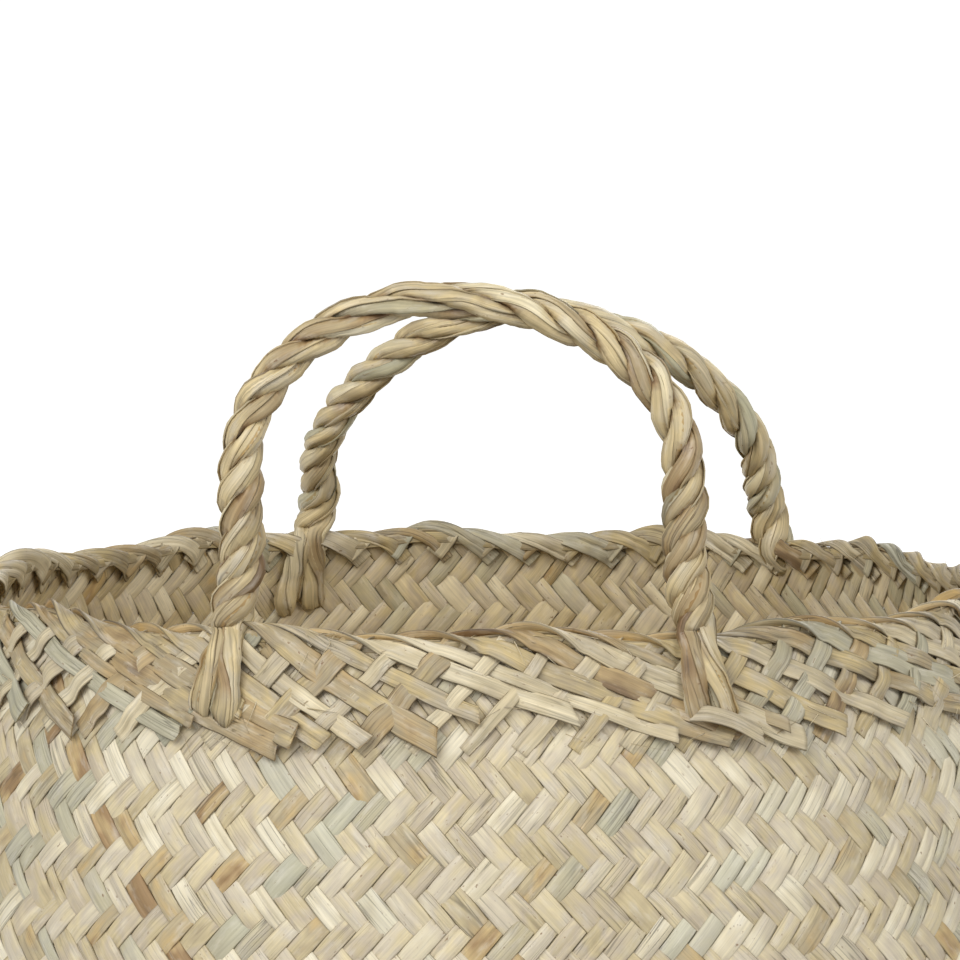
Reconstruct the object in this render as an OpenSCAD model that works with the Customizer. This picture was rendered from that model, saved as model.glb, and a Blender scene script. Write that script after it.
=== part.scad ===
/* [Basket wall] */
// Height of the rim crest above the floor
rim_z = 330; // [280:1:380]
// Outer radius of the woven wall at the rim crest
mouth_r = 175.3; // [160:0.1:190]
// Outer radius at the widest part of the belly
belly_r = 208; // [200:1:230]
// Height of the widest part of the belly
belly_z = 150; // [130:1:170]
// Radius at which the side curve would meet the floor
foot_r = 140; // [130:1:150]
// Height at which the rounded heel turns into the side
heel_z = 12; // [8:1:16]
// Thickness of the two woven layers of straw
weave_t = 3.2; // [2.5:0.1:4]

/* [Rim border] */
// Depth of the folded border below the crest
border_h = 32; // [26:1:36]
// Thickness of the folded straws outside the wall
border_t = 2; // [1.6:0.1:2.6]
// Depth of the folds over the top edge of the wall
fold_t = 2.6; // [2:0.1:3]
// Number of folded straws around the border
fold_count = 68; // [40:1:80]
// Width of one seagrass straw
straw_w = 6.5; // [5:0.1:7.5]
// Thickness of one seagrass straw
straw_t = 0.9; // [0.7:0.1:1.2]

/* [Rope handles] */
// Height of the handle hinge line above the crest
hinge_v = 12; // [12:0.5:14]
// Distance of a strand's centre from the rope's centre
lay_r = 3.6; // [3.6:0.05:3.8]
// Half thickness of a strand across the rope
strand_a = 3.05; // [2.6:0.05:3.1]
// Half width of a strand around the rope
strand_b = 2.25; // [2:0.05:2.3]
// Length of one turn of the twist in the legs
leg_pitch = 31; // [28:1:36]
// Length of one turn of the twist at the loose top
top_pitch = 80; // [60:1:100]
// Radius of the ball that stands for the bend above each foot
bend_r = 5.7; // [5.2:0.1:5.8]
// Lean of the rear handle into the mouth, in degrees
rear_lean = 37; // [30:1:42]
// Turn of the rear handle from straight opposite, in degrees
rear_turn = 6.5; // [0:0.5:10]

/* [Hidden] */

STRAW = [0.82, 0.77, 0.64];
PALE = [0.86, 0.82, 0.71];
ROPE = [0.72, 0.64, 0.45];

// A handle is [half spacing of its legs, height of the straight legs, rise of its
// arch, sideways place of its top, slimness of its right shoulder], upright and in
// its own plane. Slimness 1 is an ellipse, and more is flatter.
FRONT = [70.5, 52, 54, -5, 1];
REAR = [81.5, 27, 79, 6, 1.29];
// The legs spread by this much per mm of height below splay_v.
splay = 0.2;
splay_v = 20;
RINGS = 76;
SIDES = 8;

// ---- Wall curve: two parabolas that meet upright at the belly ----
function outer_r(z) =
    z < belly_z
    ? belly_r - (belly_r - foot_r) * pow((belly_z - z) / belly_z, 2)
    : belly_r - (belly_r - mouth_r) * pow((z - belly_z) / (rim_z - belly_z), 2);
function slope(z) =
    z < belly_z
    ? 2 * (belly_r - foot_r) * (belly_z - z) / pow(belly_z, 2)
    : -2 * (belly_r - mouth_r) * (z - belly_z) / pow(rim_z - belly_z, 2);

// The heel is an arc from the flat base up to the side's slope at heel_z.
heel_turn = 90 - atan(slope(heel_z));
heel_rho = heel_z / (1 - cos(heel_turn));
flat_r = outer_r(heel_z) - heel_rho * sin(heel_turn);

// A point of the heel or the side, moved inwards by depth.
function heel_point(turn, depth) = [
    flat_r + heel_rho * sin(turn) - depth * sin(turn),
    heel_rho * (1 - cos(turn)) + depth * cos(turn)
];
function side_point(z, depth) =
    let (s = slope(z), n = sqrt(1 + s * s))
    [outer_r(z) - depth / n, z + depth * s / n];

function reversed(list) = [for (i = [len(list) - 1 : -1 : 0]) list[i]];
function side_curve(z0, z1, steps, depth) =
    [for (i = [0 : steps]) side_point(z0 + (z1 - z0) * i / steps, depth)];

wall_top = rim_z - fold_t;
border_low = rim_z - border_h;
wall_gap = 0.1;

module side_wall() {
    heel_steps = 5;
    function face(depth) = concat(
        [for (i = [0 : heel_steps - 1]) heel_point(heel_turn * i / heel_steps, depth)],
        side_curve(heel_z, wall_top, 22, depth)
    );
    color(STRAW)
    rotate_extrude($fn = 120)
    polygon(concat(face(0), reversed(face(weave_t))));
}

module base_mat() {
    color(STRAW)
    cylinder(r = flat_r - wall_gap, h = weave_t, $fn = 120);
}

// The border wraps the outside of the wall and folds over its top edge.
module rim_border() {
    outside = side_curve(border_low, rim_z - fold_t, 6, -border_t - wall_gap);
    inside = side_curve(border_low, rim_z - fold_t, 6, -wall_gap);
    lip = wall_top + 0.9;
    crest_in = outer_r(rim_z) - weave_t;
    crest_out = outer_r(rim_z) + border_t;
    color(PALE)
    rotate_extrude($fn = 120)
    polygon(concat(
        outside,
        [[crest_out - 0.6, rim_z - 0.8], [crest_out - 2.2, rim_z],
         [crest_in + 2, rim_z], [crest_in + 0.6, rim_z - 0.6], [crest_in + 0.2, lip],
         [outer_r(wall_top) + wall_gap, lip]],
        reversed(inside)
    ));
}

// The cut ends of the folded straws stand just below the border.
module border_straw_ends() {
    end_len = 8;
    run_down = 60;
    z = border_low - 5.5;
    color(PALE)
    for (i = [0 : fold_count - 1]) {
        turn = 360 * i / fold_count;
        // The places under the front handle's feet are left free.
        if (abs(abs(turn - 270) - 26) > 7)
            rotate([0, 0, turn])
            translate([outer_r(z) + 1.6, 0, z])
            rotate([0, atan(slope(z)) - 3, 0])
            rotate([run_down, 0, 0])
            translate([-straw_t / 2, -straw_w / 2, -end_len / 2])
            cube([straw_t, straw_w, end_len]);
    }
}

// ---- Sweeps ----
// A tube through the centres, with its own pair of half axes at each ring.
module tube(centres, first, second) {
    rings = len(centres);
    turns = [for (j = [0 : SIDES - 1]) 360 * (j + 0.5) / SIDES];
    points = [for (i = [0 : rings - 1]) for (a = turns)
        centres[i] + first[i] * cos(a) + second[i] * sin(a)];
    sides = [for (i = [0 : rings - 2]) for (j = [0 : SIDES - 1])
        let (k = (j + 1) % SIDES)
        each [[i * SIDES + j, (i + 1) * SIDES + j, (i + 1) * SIDES + k],
              [i * SIDES + j, (i + 1) * SIDES + k, i * SIDES + k]]];
    ends = [[for (j = [0 : SIDES - 1]) j],
            [for (j = [SIDES - 1 : -1 : 0]) (rings - 1) * SIDES + j]];
    polyhedron(points = points, faces = concat(sides, ends), convexity = 8);
}
function unit(v) = v / norm(v);
function tangents(p) = [for (i = [0 : len(p) - 1])
    unit(p[min(i + 1, len(p) - 1)] - p[max(i - 1, 0)])];

// ---- Rope centre line of a handle, x along the rim and z above the crest ----
function leg_u(h, v) = h[0] + splay * max(0, splay_v - v);
start_v = hinge_v + bend_r + 0.7;
// Share 0 to 1 of the way: left leg, left arch, right arch, right leg.
function rope_centre(h, t) =
    let (leg = 0.5 * (h[1] - start_v) / (h[1] - start_v + 1.55 * h[2] + 0.35 * h[0]))
    t < leg
    ? let (v = start_v + (h[1] - start_v) * t / leg) [-leg_u(h, v), 0, v]
    : t > 1 - leg
    ? let (v = start_v + (h[1] - start_v) * (1 - t) / leg) [leg_u(h, v), 0, v]
    : let (a = 180 - 180 * (t - leg) / (1 - 2 * leg))
    a > 90
    ? [h[3] + (h[0] + h[3]) * cos(a), 0, h[1] + h[2] * sin(a)]
    : [h[3] + (h[0] - h[3]) * pow(cos(a), h[4]), 0, h[1] + h[2] * pow(sin(a), h[4])];
// The twist is tight in the legs and opens towards the top.
function rope_pitch(t) = leg_pitch + (top_pitch - leg_pitch) * pow(sin(180 * t), 4);

// Centre, half axes and clearance of one strand along a handle.
module strand(h, number) {
    centre = [for (i = [0 : RINGS]) rope_centre(h, i / RINGS)];
    along = tangents(centre);
    phase = [for (i = 0, a = 120 * number; i <= RINGS;
        a = a + (i < RINGS
            ? 360 * norm(centre[i + 1] - centre[i]) / rope_pitch((i + 0.5) / RINGS) : 0),
        i = i + 1) a];
    across = [for (i = [0 : RINGS]) cross(along[i], [0, -1, 0])];
    out = [for (i = [0 : RINGS]) across[i] * cos(phase[i]) + cross(along[i], across[i]) * sin(phase[i])];
    slim = [for (i = [0 : RINGS]) 0.72 + 0.28 * min(1, min(i, RINGS - i) / 3)];
    path = [for (i = [0 : RINGS]) centre[i] + out[i] * lay_r * slim[i]];
    run = tangents(path);
    tube(path,
        [for (i = [0 : RINGS]) out[i] * strand_a * slim[i]],
        [for (i = [0 : RINGS]) cross(run[i], out[i]) * strand_b * slim[i]]);
}

// ---- Where the handles stand on the rim ----
mid_r = mouth_r - 1;
function hinge_y(h) = -sqrt(pow(mid_r, 2) - pow(leg_u(h, hinge_v), 2));

module on_front() {
    translate([0, hinge_y(FRONT), rim_z]) children();
}
module on_rear() {
    rotate([0, 0, 180 - rear_turn])
    translate([0, hinge_y(REAR), rim_z + hinge_v])
    rotate([-rear_lean, 0, 0])
    translate([0, 0, -hinge_v])
    children();
}
module front_strand(number) { color(ROPE) on_front() strand(FRONT, number); }
module rear_strand(number) { color(ROPE) on_rear() strand(REAR, number); }

// ---- Feet: the strands part over the crest, outside and inside the wall ----
// A bundle is a list of [sideways, outwards from the wall's middle, height].
function placed(h, side, p) =
    let (u = side * (leg_u(h, p[2]) + p[0]),
         r = mid_r + p[1])
    [u, -sqrt(r * r - u * u), rim_z + p[2]];
// Outwards distance of a point that lies clear of the wall: face is 1 outside
// the border and the wall, and -1 inside the wall.
function beside(face, v, clear) =
    outer_r(rim_z + v) - mid_r + (face > 0
        ? (v > -border_h ? border_t + 0.7 : 0.5) + clear
        : -weave_t - 0.6 - clear);

module bundle(h, side, points, half_w, half_t) {
    path = [for (p = points) placed(h, side, p)];
    run = tangents(path);
    out = [for (i = [0 : len(path) - 1])
        unit([path[i][0], path[i][1], 0] - run[i] * ([path[i][0], path[i][1], 0] * run[i]))];
    tube(path, [for (i = [0 : len(path) - 1]) out[i] * half_t],
        [for (i = [0 : len(path) - 1]) cross(run[i], out[i]) * half_w]);
}

// A foot is the rope's bend and two bundles down one face of the wall.
module foot(h, side, face) {
    translate(placed(h, side, [0, 0, hinge_v])) sphere(r = bend_r, $fn = 12);
    for (lean = [-1, 1])
        bundle(h, side, [
            [0.6 * lean, face, 9],
            [1.3 * lean, 3.3 * face, 5],
            [1.9 * lean, 5.5 * face, 1],
            for (v = [-4 : -6 : -28]) [2.6 * lean, beside(face, v, 1.9), v + lean]
        ], 2.5, 1.7);
}
// A tail is the third bundle, down the other face to the depth given.
module tail(h, side, face, depth) {
    steps = 4;
    bundle(h, side, [
        [0, 3.4 * face, 4.4],
        [0, 5.2 * face, 1],
        for (i = [0 : steps - 1]) let (v = -3 - (depth - 3) * i / (steps - 1))
            [0, beside(face, v, 1.7), v]
    ], 2.8, 1.5);
}
module front_foot(side) { color(ROPE) foot(FRONT, side, 1); }
module front_tail(side) { color(ROPE) tail(FRONT, side, -1, 22); }
// The rear handle's left leg goes down inside the wall, and its right leg outside.
module rear_foot(side) {
    color(ROPE) rotate([0, 0, 180 - rear_turn]) foot(REAR, side, -side);
}
module rear_tail(side) {
    color(ROPE) rotate([0, 0, 180 - rear_turn]) tail(REAR, side, side, side > 0 ? 22 : 8);
}

// One short straw lies across the wall below the front right foot.
module front_right_lash() {
    color(PALE)
    bundle(FRONT, 1, [
        for (i = [0 : 5]) let (v = -34 - i) [-8 + 4 * i, beside(1, v, 1.1), v]
    ], straw_w / 2, straw_t / 2);
}

side_wall();
base_mat();
rim_border();
border_straw_ends();
front_strand(0);  // front_strand_1
front_strand(1);  // front_strand_2
front_strand(2);  // front_strand_3
rear_strand(0);  // rear_strand_1
rear_strand(1);  // rear_strand_2
rear_strand(2);  // rear_strand_3
front_foot(-1);  // front_left_foot
front_foot(1);  // front_right_foot
rear_foot(1);  // rear_left_foot
rear_foot(-1);  // rear_right_foot
front_tail(-1);  // front_left_tail
front_tail(1);  // front_right_tail
rear_tail(1);  // rear_left_tail
rear_tail(-1);  // rear_right_tail
front_right_lash();
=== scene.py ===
"""The looks of a seagrass storage basket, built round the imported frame.

Lengths are in millimetres until a mesh is made. Heights are above the floor, and
a depth is below the rim's crest.
"""
import itertools
import math

import bpy
import numpy as np
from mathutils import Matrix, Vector


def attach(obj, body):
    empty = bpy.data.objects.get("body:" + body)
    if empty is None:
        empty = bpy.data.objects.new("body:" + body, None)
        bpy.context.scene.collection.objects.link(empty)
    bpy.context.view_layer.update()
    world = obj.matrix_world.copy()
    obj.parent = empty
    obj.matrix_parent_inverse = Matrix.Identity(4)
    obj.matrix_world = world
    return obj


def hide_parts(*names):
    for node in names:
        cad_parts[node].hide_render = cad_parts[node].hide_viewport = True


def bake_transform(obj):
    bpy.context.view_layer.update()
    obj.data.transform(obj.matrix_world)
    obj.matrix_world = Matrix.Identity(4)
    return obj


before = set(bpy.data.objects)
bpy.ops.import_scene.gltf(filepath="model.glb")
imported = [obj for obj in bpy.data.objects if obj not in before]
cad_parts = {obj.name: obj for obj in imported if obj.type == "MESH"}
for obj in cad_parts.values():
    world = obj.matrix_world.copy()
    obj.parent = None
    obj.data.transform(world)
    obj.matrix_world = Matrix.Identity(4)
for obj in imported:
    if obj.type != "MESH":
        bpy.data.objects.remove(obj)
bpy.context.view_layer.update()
MM = 0.001
rng = np.random.default_rng(136)

# ---------------------------------------------------------------- driving sizes
RIM_Z = 330.0
MOUTH_R = 175.3
BELLY_R = 208.0
BELLY_Z = 150.0
FOOT_R = 140.0
HEEL_Z = 12.0
WEAVE_T = 3.2
STRAWS = 136
STRAW_T = 0.8
# Rise of a straw's middle above or below the weave's middle at a crossing.
WAVE_H = 0.6
# Least angle of the wall's straws above level, at the belly, in degrees.
BELLY_LEAN = 46.0
WALL_TOP = RIM_Z - 2.6
BORDER_H = 32.0
FOLDS = STRAWS // 2
# Height of the handles' hinge lines above the rim.
HINGE_V = 12.0


# ---------------------------------------------------------------- small helpers
def smooth(x):
    """Smooth step: 3x^2 - 2x^3 with x held between 0 and 1."""
    x = np.clip(x, 0.0, 1.0)
    return x * x * (3 - 2 * x)


def wander(count, along, step, strength):
    """Slow random drift along count straws: a sum of three sines of random phase,
    whose periods are step, step/2.3 and step/4.1."""
    total = np.zeros((count, len(along)))
    for period, share in ((step, 0.6), (step / 2.3, 0.3), (step / 4.1, 0.2)):
        phase = rng.uniform(0, 2 * np.pi, (count, 1))
        total += share * np.sin(2 * np.pi * along[None, :] / period + phase)
    return strength * total


def unit(v):
    """v scaled to length 1."""
    return v / np.linalg.norm(v, axis=-1, keepdims=True)


# ---------------------------------------------------------------- mesh building
def strips(name, points, uv, numbers, material, body):
    """Closed strips. points is [strip, section, corner, xyz] in mm. Neighbouring
    corners and sections are joined by quads, and the last corner to the first; each
    end is closed by one face. uv is [strip, section, corner, 2] in mm. numbers maps
    attribute names to arrays [strip, section, corner]."""
    n, m, k, _ = points.shape
    a = points[:, :-1]
    b = points[:, 1:]
    nxt = np.roll(np.arange(k), -1)
    volume = np.einsum("nmki,nmki->", a, np.cross(b, b[:, :, nxt]))
    volume += np.einsum("nmki,nmki->", a, np.cross(b[:, :, nxt], a[:, :, nxt]))
    index = np.arange(n * m * k).reshape(n, m, k)
    quads = np.stack(
        [index[:, :-1], index[:, 1:], index[:, 1:][:, :, nxt], index[:, :-1][:, :, nxt]], -1
    ).reshape(-1, 4)
    first = index[:, 0].reshape(-1, k)
    last = index[:, -1][:, ::-1].reshape(-1, k)
    if volume < 0:
        quads, first, last = quads[:, ::-1], first[:, ::-1], last[:, ::-1]
    loops = np.concatenate([quads.ravel(), first.ravel(), last.ravel()])
    sizes = np.concatenate([np.full(len(quads), 4), np.full(len(first) * 2, k)])
    starts = np.concatenate([[0], np.cumsum(sizes)[:-1]])
    mesh = bpy.data.meshes.new(name)
    mesh.vertices.add(n * m * k)
    mesh.vertices.foreach_set("co", (points * MM).astype(np.float32).ravel())
    mesh.loops.add(len(loops))
    mesh.loops.foreach_set("vertex_index", loops.astype(np.int32))
    mesh.polygons.add(len(sizes))
    mesh.polygons.foreach_set("loop_start", starts.astype(np.int32))
    mesh.polygons.foreach_set("use_smooth", sizes == 4)
    layer = mesh.uv_layers.new(name="Straw")
    layer.data.foreach_set("uv", uv.reshape(-1, 2)[loops].astype(np.float32).ravel())
    for key, value in numbers.items():
        full = np.broadcast_to(value, (n, m, k)).astype(np.float32)
        mesh.attributes.new(key, "FLOAT", "POINT").data.foreach_set("value", full.ravel())
    mesh.update(calc_edges=True)
    mesh.validate()
    piece = bpy.data.objects.new(name, mesh)
    bpy.context.scene.collection.objects.link(piece)
    mesh.materials.append(material)
    if body:
        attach(piece, body)
    return piece


# A flat straw's section has ten corners, in order round it. Seven are on the upper
# face: edge, shoulder, three across a lengthwise crease, shoulder, edge. Three are
# on the inner face. LOW is their depth in thicknesses, INNER how much of the corner
# belongs to the inner face, and EDGE_SHADE how much to the dark line of painted shade
# along an edge, which stands for the shadowed gap between straws.
LOW = np.array([0.5, 0.0, 0.0, 0.0, 0.0, 0.0, 0.5, 1.0, 1.0, 1.0])
INNER = np.array([0.35, 0.0, 0.0, 0.0, 0.0, 0.0, 0.35, 1.0, 1.0, 1.0])
EDGE_SHADE = np.array([1.0, 0.0, 0.0, 0.0, 0.0, 0.0, 1.0, 0.25, 0.0, 0.25])
CREASE = np.array([0.0, 0.0, 0.0, 1.0, 0.0, 0.0, 0.0, 0.0, 0.0, 0.0])
CROWNED = np.array([1.0, 1.0, 1.0, 1.0, 1.0, 1.0, 1.0, 0.0, -0.6, 0.0])


def across(count):
    """Places of the ten corners across straws, from -1 to 1. Each straw has its
    crease at a random place. The array is [straw, 1, corner]."""
    fold = rng.uniform(-0.5, 0.5, (count, 1, 1))
    fixed = np.array([-1.0, -0.88, 0.0, 0.0, 0.0, 0.88, 1.0, 0.84, 0.0, -0.84])
    near = np.array([0.0, 0.0, 1.0, 1.0, 1.0, 0.0, 0.0, 0.0, 0.0, 0.0])
    step = np.array([0.0, 0.0, -0.09, 0.0, 0.09, 0.0, 0.0, 0.0, 0.0, 0.0])
    return fixed + near * fold + step


def blade(x, height, tilt, crown, groove):
    """Lift of each corner of straws: height, plus the crown times 1 - x^2, less the
    groove at the crease, less the thickness, plus tilt times x. height, tilt, crown
    and groove are [straw, section]."""
    top = CROWNED * crown[..., None] * (1 - x * x) - CREASE * groove[..., None]
    return height[..., None] + top + STRAW_T * (0.5 - LOW) + tilt[..., None] * x


def straw_numbers(tone, tint, wear):
    """The values that the straw material reads."""
    return {"tone": tone, "tint": tint, "wear": wear, "inner": INNER, "edge": EDGE_SHADE}


def straw_colours(count, share_tinted):
    """A tone and a greenness for each straw; most straws have no green."""
    tone = rng.beta(1.6, 2.2, count)
    tint = np.where(rng.random(count) < share_tinted, rng.uniform(0.25, 0.7, count), 0.0)
    return tone, tint


# ---------------------------------------------------------------- materials
def linear(code):
    """An sRGB hex code as linear red, green, blue and alpha 1."""
    parts = [int(code[i : i + 2], 16) / 255 for i in (1, 3, 5)]
    return [c / 12.92 if c <= 0.04045 else ((c + 0.055) / 1.055) ** 2.4 for c in parts] + [1.0]


def add(tree, kind, links=None, values=None, **settings):
    """Adds a node. links maps input names to sockets, values maps them to values."""
    node = tree.nodes.new(kind)
    for key, value in settings.items():
        setattr(node, key, value)
    for key, value in (values or {}).items():
        node.inputs[key].default_value = value
    for key, socket in (links or {}).items():
        tree.links.new(socket, node.inputs[key])
    return node


def seagrass(name, stops, green, inner, glow, roughness, contrast, edge_shade):
    """Dried seagrass blade, split flat: a pale waxy skin with fibres along it.
    Fibres are streaks 0.6 mm wide and 20 mm long, broader streaks are 2 mm wide.
    Dark creases run along worn blades. Blotches 20 mm long turn the straw lighter or
    browner, as sun and damp do, and a few brown specks are 1 to 2 mm across. The
    skin has a soft shine, duller along some streaks. stops are the colours from pale
    to brown, green is the colour of unripe straws and inner multiplies the inner
    face. contrast scales the fibres, edging is the darkness of a line of painted
    shade along an edge, for the shadowed gap between neighbouring straws, weaker on
    the inner face, and glow lightens the inner face by the daylight that comes
    through the weave."""
    made = bpy.data.materials.new(name)
    made.use_nodes = True
    tree = made.node_tree
    shader = tree.nodes["Principled BSDF"]
    uv = add(tree, "ShaderNodeUVMap", uv_map="Straw").outputs["UV"]
    tone, tint, wear, inside, edge = (
        add(tree, "ShaderNodeAttribute", attribute_name=key).outputs["Fac"]
        for key in ("tone", "tint", "wear", "inner", "edge")
    )

    def noise(along, wide, detail):
        place = add(tree, "ShaderNodeMapping", {"Vector": uv}, {"Scale": (along, wide, 1)})
        return add(
            tree, "ShaderNodeTexNoise", {"Vector": place.outputs["Vector"]},
            {"Scale": 1.0, "Detail": detail, "Roughness": 0.6},
        ).outputs["Fac"]

    def spread(value, low, high, out_low, out_high):
        return add(
            tree, "ShaderNodeMapRange", {"Value": value},
            {"From Min": low, "From Max": high, "To Min": out_low, "To Max": out_high},
        ).outputs["Result"]

    def maths(kind, *terms):
        node = add(tree, "ShaderNodeMath", operation=kind)
        for socket, term in zip(node.inputs, terms):
            if isinstance(term, float):
                socket.default_value = term
            else:
                tree.links.new(term, socket)
        return node.outputs["Value"]

    def mix(factor, colour, other, kind="MIX"):
        """Mixes a colour with a hex code or blends it by kind."""
        node = add(tree, "ShaderNodeMix", data_type="RGBA", blend_type=kind)
        tree.links.new(factor, node.inputs[0])
        tree.links.new(colour, node.inputs[6])
        node.inputs[7].default_value = linear(other)
        return node.outputs[2]

    fibre = noise(0.05, 1.6, 4)
    streak = noise(0.022, 0.5, 2)
    blotch = noise(0.055, 0.13, 2)
    patch = noise(0.09, 0.3, 3)
    line = maths("ABSOLUTE", maths("SUBTRACT", noise(0.012, 0.42, 1), 0.5))
    crease = maths("MULTIPLY", spread(line, 0.0, 0.022, 1.0, 0.0), wear)
    speck = maths("MULTIPLY", spread(noise(0.4, 0.75, 2), 0.63, 0.7, 0.0, 1.0),
                  spread(patch, 0.5, 0.62, 0.0, 0.8))

    place = maths("ADD", tone, spread(blotch, 0.3, 0.7, -0.16, 0.16))
    bar = add(tree, "ShaderNodeValToRGB", {"Fac": place})
    elements = bar.color_ramp.elements
    while len(elements) > 1:
        elements.remove(elements[-1])
    for i, (spot, code) in enumerate(stops):
        stop = elements[0] if i == 0 else elements.new(spot)
        stop.position = spot
        stop.color = linear(code)
    colour = mix(tint, bar.outputs["Color"], green)
    colour = mix(spread(patch, 0.52, 0.75, 0.0, 0.4), colour, "#E2DCCF")
    colour = mix(speck, colour, "#7D5C39")
    # The inner face is multiplied by a warmer, darker colour: partly the straws' browner undersides, partly
    # painted shade for the basket's shadowed inside.
    colour = mix(inside, colour, inner, "MULTIPLY")
    shade = maths("MULTIPLY", spread(fibre, 0.3, 0.7, 1 - 0.13 * contrast, 1 + 0.1 * contrast),
                  spread(streak, 0.3, 0.7, 1 - 0.1 * contrast, 1 + 0.07 * contrast))
    shade = maths("MULTIPLY", shade, maths("MULTIPLY_ADD", crease, -0.55, 1.0))
    shade = maths("MULTIPLY", shade, maths("MULTIPLY_ADD", wear, -0.1, 1.0))
    # Painted shade: a dark line along each straw's edges stands for the shadowed gap between straws, and is
    # weaker on the inner face.
    open_edge_shade = maths("MULTIPLY", edge, maths("MULTIPLY_ADD", inside, -0.6, 1.0))
    shade = maths("MULTIPLY", shade, maths("MULTIPLY_ADD", open_edge_shade, -edge_shade, 1.0))
    shade = maths("MULTIPLY", shade, maths("MULTIPLY_ADD", inside, glow, 1.0))
    last = add(tree, "ShaderNodeVectorMath", {0: colour}, operation="SCALE")
    tree.links.new(shade, last.inputs["Scale"])
    tree.links.new(last.outputs["Vector"], shader.inputs["Base Color"])
    dull = spread(streak, 0.3, 0.7, roughness - 0.08, roughness + 0.1)
    tree.links.new(dull, shader.inputs["Roughness"])
    height = maths("MULTIPLY_ADD", crease, -0.9, maths("ADD", fibre, streak))
    bump = add(tree, "ShaderNodeBump", {"Height": height}, {"Strength": 0.8, "Distance": 0.16 * MM})
    tree.links.new(bump.outputs["Normal"], shader.inputs["Normal"])
    shader.inputs["IOR"].default_value = 1.45
    return made


# Colours from pale to brown, at places from 0 to 1.
WALL_STOPS = (
    (0.0, "#E6DCC1"), (0.14, "#DBCFB0"), (0.28, "#CBBFA8"), (0.4, "#D4C59F"), (0.52, "#BFB199"),
    (0.64, "#C7B78F"), (0.76, "#B2A281"), (0.87, "#C2A978"), (0.95, "#AD9268"), (1.0, "#977A53"),
)
BORDER_STOPS = (
    (0.0, "#DACDAD"), (0.2, "#C8B996"), (0.36, "#B8AB91"), (0.5, "#C1AD7E"), (0.64, "#A8997A"),
    (0.82, "#B1996E"), (0.93, "#97805B"), (1.0, "#826B4E"),
)
ROPE_STOPS = (
    (0.0, "#EADDBA"), (0.2, "#DCCDA5"), (0.36, "#CABB9A"), (0.5, "#D0BC8E"), (0.66, "#B5A27C"),
    (0.84, "#A2885F"), (1.0, "#7F6443"),
)
wall_straw = seagrass(
    "dried seagrass blade, woven", WALL_STOPS, green="#B3B5A1", inner="#FAF6EE", glow=0.17,
    roughness=0.55, contrast=0.95, edge_shade=0.6,
)
border_straw = seagrass(
    "dried seagrass blade, folded", BORDER_STOPS, green="#A8A994", inner="#F6E6CC", glow=0.1,
    roughness=0.55, contrast=1.6, edge_shade=0.78,
)
rope_straw = seagrass(
    "dried seagrass blade, twisted", ROPE_STOPS, green="#ABAB91", inner="#EBD9B8", glow=0.0,
    roughness=0.5, contrast=1.8, edge_shade=0.42,
)


# ---------------------------------------------------------------- wall curve
def outer_r(z):
    """The side's outer radius: two parabolas that meet upright at the belly."""
    low = BELLY_R - (BELLY_R - FOOT_R) * ((BELLY_Z - z) / BELLY_Z) ** 2
    high = BELLY_R - (BELLY_R - MOUTH_R) * ((z - BELLY_Z) / (RIM_Z - BELLY_Z)) ** 2
    return np.where(z < BELLY_Z, low, high)


def slope(z):
    """Change of outer_r per mm of height."""
    low = 2 * (BELLY_R - FOOT_R) * (BELLY_Z - z) / BELLY_Z**2
    high = -2 * (BELLY_R - MOUTH_R) * (z - BELLY_Z) / (RIM_Z - BELLY_Z) ** 2
    return np.where(z < BELLY_Z, low, high)


# The heel's arc turns from level to the side's slope, and ends the flat base.
HEEL_TURN = math.pi / 2 - math.atan(float(slope(np.array(HEEL_Z))))
HEEL_RHO = HEEL_Z / (1 - math.cos(HEEL_TURN))
FLAT_R = float(outer_r(np.array(HEEL_Z))) - HEEL_RHO * math.sin(HEEL_TURN)


def wall_curve(depth):
    """The side's outline, moved inwards by depth: the heel's arc, then the side.
    Returns its run, radius, height and outward normal as arrays."""
    turn = np.linspace(0, HEEL_TURN, 24)[:-1]
    z = np.linspace(HEEL_Z, WALL_TOP, 300)
    lean = slope(z)
    size = np.sqrt(1 + lean**2)
    normal_r = np.concatenate([np.sin(turn), 1 / size])
    normal_z = np.concatenate([-np.cos(turn), -lean / size])
    r = np.concatenate([FLAT_R + HEEL_RHO * np.sin(turn), outer_r(z)]) - depth * normal_r
    z = np.concatenate([HEEL_RHO * (1 - np.cos(turn)), z]) - depth * normal_z
    run = np.concatenate([[0], np.cumsum(np.hypot(np.diff(r), np.diff(z)))])
    return run, r, z, normal_r, normal_z


RUN, CURVE_R, CURVE_Z, NORMAL_R, NORMAL_Z = wall_curve(WEAVE_T / 2)


def lean_angle(r):
    """The straws' angle above level: least at the belly, and steeper where the
    basket is narrower, because the same straws fit a smaller round. It grows by 0.22
    degrees a mm above the belly and by 0.075 below it."""
    above = np.arange(len(r)) > int(np.argmax(r))
    return np.radians(BELLY_LEAN + np.where(above, 0.22, 0.075) * (BELLY_R - r))


# One level is the run between two rows of crossings.
LEVELS_PER_MM = STRAWS / (math.pi * CURVE_R * np.tan(lean_angle(CURVE_R)))
LEVEL = np.concatenate([
    [0], np.cumsum((LEVELS_PER_MM[1:] + LEVELS_PER_MM[:-1]) / 2 * np.diff(RUN))
])
TOP_LEVEL = float(LEVEL[-1])
# Turn that puts a crossing just to the right of the front.
FIRST_TURN = -math.pi / 2 + math.pi / STRAWS


def on_wall(turn, level, lift):
    """The point at that turn and level, lifted off the weave's middle by lift."""
    run = np.interp(level, LEVEL, RUN)
    r = np.interp(run, RUN, CURVE_R) + lift * np.interp(run, RUN, NORMAL_R)
    z = np.interp(run, RUN, CURVE_Z) + lift * np.interp(run, RUN, NORMAL_Z)
    return np.stack([r * np.cos(turn), r * np.sin(turn), z], -1)


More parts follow.
